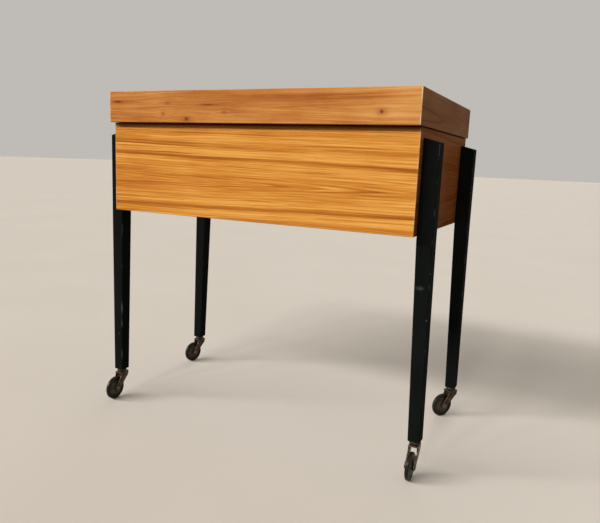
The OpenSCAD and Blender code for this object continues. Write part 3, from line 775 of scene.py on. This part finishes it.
def arm(side):
    """One arm of a fork: full width under the crown, then tapering to a round end at the axle."""
    half = CROWN_LENGTH / 2 - CROWN_ROUND
    low = CROWN_Z - SKIRT
    start, end = tangent_angle((-half, low), 1), tangent_angle((half, low), -1) + math.tau
    sweep = [start + (end - start) * i / ARM_STEPS for i in range(ARM_STEPS + 1)]
    outline = [(half, CROWN_Z + SHEET_BITE), (-half, CROWN_Z + SHEET_BITE), (-half, low)]
    outline += [(-TRAIL + ARM_END * math.cos(a), AXLE_Z + ARM_END * math.sin(a)) for a in sweep]
    outline.append((half, low))
    shape = bmesh.new()
    rim = [shape.verts.new((side * ARM_IN, y, z)) for y, z in outline]
    shape.faces.new(rim)
    grown = bmesh.ops.extrude_face_region(shape, geom=shape.faces[:])["geom"]
    bmesh.ops.translate(shape, vec=(side * SHEET, 0, 0),
                        verts=[g for g in grown if isinstance(g, bmesh.types.BMVert)])
    bmesh.ops.recalc_face_normals(shape, faces=shape.faces)
    bends = [e for e in sharp_edges(shape, 12)
             if abs(e.verts[0].co.x - e.verts[1].co.x) > SHEET / 2
             and max(abs(e.verts[0].co.z - low), abs(e.verts[1].co.z - low)) < 1e-6]
    ease(shape, bends, ARM_BEND, segments=5)
    ease(shape, sharp_edges(shape), SHEET_ARRIS, segments=2)
    return shape


def crown():
    """The fork's crown, its top edges rounded where the sheet bends over into the arms."""
    top = CROWN_Z + SHEET
    reach = Vector((ARM_IN + SHEET, CROWN_LENGTH / 2, 0))
    plate = block(Vector((0, 0, CROWN_Z)) - reach, Vector((0, 0, top)) + reach)
    ease(plate, [e for e in plate.edges if abs(e.verts[0].co.z - e.verts[1].co.z) > SHEET / 2],
         CROWN_ROUND, segments=4)
    ease(plate, [e for e in sharp_edges(plate) if min(v.co.z for v in e.verts) > top - 1e-6],
         CROWN_BEND, segments=4)
    return plate


def stem():
    """The pin on the crown that turns in the leg's socket."""
    top = CROWN_Z + SHEET
    return turned([(0, top - SHEET_BITE), (STEM_R + 0.0016, top - SHEET_BITE),
                   (STEM_R + 0.0012, top + 0.0002), (STEM_R, top + 0.0002),
                   (STEM_R, STEM_TOP - STEM_END), (STEM_R - STEM_END, STEM_TOP), (0, STEM_TOP)],
                  steps=40)


def disc():
    """The domed wheel disc, with a short hub, a rolled groove and a rim lip."""
    def dome(radius):
        return math.sqrt(DOME_R ** 2 - radius ** 2) - DOME_CENTRE

    first, last = HUB_R + 0.0002, DISC_R - 0.0017
    reaches = [first + (last - first) * i / DOME_STEPS for i in range(DOME_STEPS + 1)]
    swell = [(radius, dome(radius)) for radius in reaches]
    half = [(HUB_BORE, HUB_HALF), (HUB_R - 0.0005, HUB_HALF), (HUB_R - 0.0001, HUB_HALF - 0.0003)]
    half += swell + [(DISC_R - 0.0013, dome(DISC_R - 0.0013) - 0.00035),
                     (DISC_R - 0.0008, RIM_HALF - 0.0002), (DISC_R - 0.0005, RIM_HALF + 0.0001),
                     (DISC_R, RIM_HALF)]
    return turned(half + [(radius, -height) for radius, height in reversed(half)])


def neck(low):
    """The socket: a collar under the leg's foot, and a plug that goes up into the leg."""
    return turned([(NECK_BORE, low), (COLLAR_R - COLLAR_ROUND, low),
                   (COLLAR_R, low + COLLAR_ROUND), (COLLAR_R, low + 0.0030),
                   (NECK_R, low + 0.0036), (NECK_R, foot_z), (PLUG_R, foot_z),
                   (PLUG_R, foot_z + PLUG), (NECK_BORE, foot_z + PLUG)], steps=48)


def tyre():
    """A flat tyre with a rounded tread."""
    shape = turned([(TYRE_IN, -TYRE_HALF), (TYRE_R, -TYRE_HALF), (TYRE_R, TYRE_HALF),
                    (TYRE_IN, TYRE_HALF)])
    outer = [e for e in sharp_edges(shape)
             if min(v.co.xy.length for v in e.verts) > TYRE_R - 0.001]
    ease(shape, outer, TREAD_ROUND, segments=5)
    ease(shape, sharp_edges(shape), TYRE_ARRIS, segments=2)
    return shape


def rivet():
    """The axle, with a low head over each arm of the fork."""
    span = ARM_IN + SHEET
    head = [(AXLE_HEAD_R, span), (AXLE_HEAD_R - 0.0001, span + 0.0005),
            (AXLE_HEAD_R - 0.0009, span + 0.00085), (0, span + 0.001)]
    return turned([(0, -span - 0.001)] + [(r, -h) for r, h in reversed(head[:-1])]
                  + [(AXLE_R, -span), (AXLE_R, span)] + head, steps=40)


for corner in CORNERS:
    place = castor_place(corner)
    hub = place @ Matrix.Translation((0, -TRAIL, AXLE_Z)) @ Matrix.Rotation(math.pi / 2, 4, "Y")
    piece(neck(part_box(corner + "_socket")[0].z), corner + "_neck", black_steel,
          corner + "_socket", smooth=35, place=place)
    piece(crown(), corner + "_pressed_fork", bronze, corner + "_fork",
          smooth=35, welded=(arm(-1), arm(1), stem()), place=place)
    piece(disc(), corner + "_disc", disc_bronze, corner + "_wheel",
          smooth=40, place=hub)
    piece(tyre(), corner + "_rubber", tyre_rubber, corner + "_tyre",
          smooth=35, place=hub)
    piece(rivet(), corner + "_rivet", rivet_steel, corner + "_axle",
          smooth=50, place=hub)


# --- Inside, hinges and felt ---

PALE_TONES = [(0.0, (0.40, 0.235, 0.105)), (0.4, (0.54, 0.345, 0.165)), (0.8, (0.65, 0.45, 0.24)),
              (1.0, (0.70, 0.50, 0.29))]
PLY_TONES = [(0.0, (0.31, 0.165, 0.07)), (0.4, (0.44, 0.255, 0.115)), (0.8, (0.54, 0.33, 0.165)),
             (1.0, (0.60, 0.39, 0.21))]


def oiled(finish, rough=0.52):
    """Bare wood with a little oil."""
    finish.set(Base_Color=finish.colour, Roughness=finish.patches * 0.15 + rough,
               Specular_IOR_Level=0.35)
    finish.bump(finish.fibres * 0.5 - finish.pores * 0.5, GRAIN_RELIEF, 0.5)
    return finish.material


rail_wood = oiled(wood(
    "tray_wood_lengthwise", along=0, across=2, face=(0, 1), heart=(0.33, 0.05, 0.02),
    tones=PALE_TONES, seed=53.3, ring=0.004, contrast=0.45))
end_wood = oiled(wood(
    "tray_wood_crosswise", along=1, across=2, face=(0, 1), heart=(0.33, 0.05, 0.02),
    tones=PALE_TONES, seed=59.9, ring=0.004, contrast=0.45))
ply = oiled(wood(
    "plywood", along=0, across=1, face=(0, 1), heart=(0.05, 0.06, 0.15), tones=PLY_TONES,
    seed=61.7, ring=0.009, contrast=0.5), rough=0.6)


def felt():
    """Brown felt with a little nap."""
    finish = Finish("brown_felt")
    x, y, z = finish.axes
    fibres = finish.noise(x * 1400, y * 1400, z * 1400, 4, 0.7)
    finish.set(Base_Color=finish.ramp(fibres + 0.5, [(0.3, (0.055, 0.028, 0.016)),
                                                     (0.7, (0.12, 0.068, 0.04))]),
               Roughness=0.95, Specular_IOR_Level=0.1, Sheen_Weight=0.3)
    finish.bump(fibres, 0.0002, 1.0)
    return finish.material


for tray in ("upper", "lower"):
    for wall in ("front", "back"):
        eased_copy(f"{tray}_tray_{wall}", 0.0006, rail_wood)
        eased_copy(f"{tray}_{wall}_runner", 0.0008, rail_wood)
    for wall in ("left", "right"):
        eased_copy(f"{tray}_tray_{wall}_end", 0.0006, end_wood)
    eased_copy(f"{tray}_tray_dividers", 0.0005, rail_wood)
for hinge in ("left", "right"):
    for leaf in ("body_leaf", "lid_leaf"):
        eased_copy(f"{hinge}_hinge_{leaf}", 0.0002, aged_brass)

KEPT = {"bottom_panel": ply, "upper_tray_bottom": ply, "lower_tray_bottom": ply,
        "lid_buffers": felt(), "leg_screws": screw_steel, "left_hinge_pin": screw_steel,
        "right_hinge_pin": screw_steel, "body_hinge_screws": aged_brass,
        "lid_hinge_screws": aged_brass}
for node, material in KEPT.items():
    kept = frame["nodes"][node]
    if not kept.material_slots:
        kept.data.materials.append(material)
    for slot in kept.material_slots:
        slot.material = material


# --- Floor, light and camera ---

FLOOR_TONES = [(0.2, (0.645, 0.580, 0.500)), (0.8, (0.675, 0.610, 0.530))]
FLOOR_GIVES_BACK = (0.08, 0.073, 0.066)
FLOOR_REACH = 30    # from the middle to an edge


def pale_floor():
    """A plain floor that looks pale and throws little light back at the box."""
    finish = Finish("pale_floor")
    x, y, _ = finish.axes
    cloud = finish.noise(x * 3, y * 3, 0.0, 4)
    pale = finish.ramp(cloud + 0.5, FLOOR_TONES)
    finish.set(Base_Color=finish.mix(finish.looked_on(), FLOOR_GIVES_BACK, pale),
               Roughness=0.75, Specular_IOR_Level=0.2)
    return finish.material


ground = bmesh.new()
bmesh.ops.create_grid(ground, x_segments=4, y_segments=4, size=FLOOR_REACH)
floor = thing(ground, "floor")
floor.data.materials.append(pale_floor())

SUNS, SUN_ENERGY, SUN_DEGREES = 8, 0.495, 9
STRIP_LEFT, STRIP_RIGHT, STRIP_RISE = -1.9, 0.0, 0.84


def sun(name, toward, energy, degrees):
    """A sun that stands in a direction and looks so many degrees wide."""
    lamp = bpy.data.lights.new(name, "SUN")
    lamp.energy, lamp.angle = energy, math.radians(degrees)
    made = bpy.data.objects.new(name, lamp)
    made.rotation_euler = Vector(toward).to_track_quat("Z", "Y").to_euler()
    bpy.context.scene.collection.objects.link(made)


# A row of soft suns makes one long level strip of light ahead and to the left
for i in range(SUNS):
    aside = STRIP_LEFT + (STRIP_RIGHT - STRIP_LEFT) * i / (SUNS - 1)
    sun(f"key_{i + 1}", (aside, -1, STRIP_RISE), SUN_ENERGY, SUN_DEGREES)
sun("fill", (-0.15, 1, 0.7), energy=0.35, degrees=40)

ROOM_COLOUR, ROOM_LIGHT = (0.97, 0.98, 1), 0.038
BACKDROP_COLOUR = (0.52, 0.50, 0.47)
BACKDROP_LEAST = 0.5    # the backdrop's share in the soft light that falls on the box

# The eye, reflections and glass look on a plain backdrop, and the soft light on the box is part
# the backdrop's and part a dim room's
world = bpy.data.worlds.new("soft_room")
bpy.context.scene.world = world
around = Nodes(world)
room = around.node("ShaderNodeBackground", {}, {0: ROOM_COLOUR, 1: ROOM_LIGHT})
backdrop = around.node("ShaderNodeBackground", {}, {0: BACKDROP_COLOUR})
share = around.math("MAXIMUM", around.looked_on(), BACKDROP_LEAST)
blend = around.node("ShaderNodeMixShader", {}, {0: share, 1: room, 2: backdrop})
around.node("ShaderNodeOutputWorld", {}, {0: blend})

CAMERA_PLACE, CAMERA_LENS = (0.4104, -0.8060, 0.3907), 35.13
CAMERA_TURN, CAMERA_DIP, CAMERA_ROLL = 25.90, 9.65, 2.40    # degrees

lens = bpy.data.cameras.new("camera")
lens.lens, lens.sensor_width = CAMERA_LENS, 36
camera = bpy.data.objects.new("camera", lens)
camera.matrix_world = (Matrix.Translation(CAMERA_PLACE)
                       @ Matrix.Rotation(math.radians(CAMERA_TURN), 4, "Z")
                       @ Matrix.Rotation(math.radians(90 - CAMERA_DIP), 4, "X")
                       @ Matrix.Rotation(math.radians(CAMERA_ROLL), 4, "Z"))
bpy.context.scene.collection.objects.link(camera)
bpy.context.scene.camera = camera
bpy.context.scene.view_settings.view_transform = "Standard"
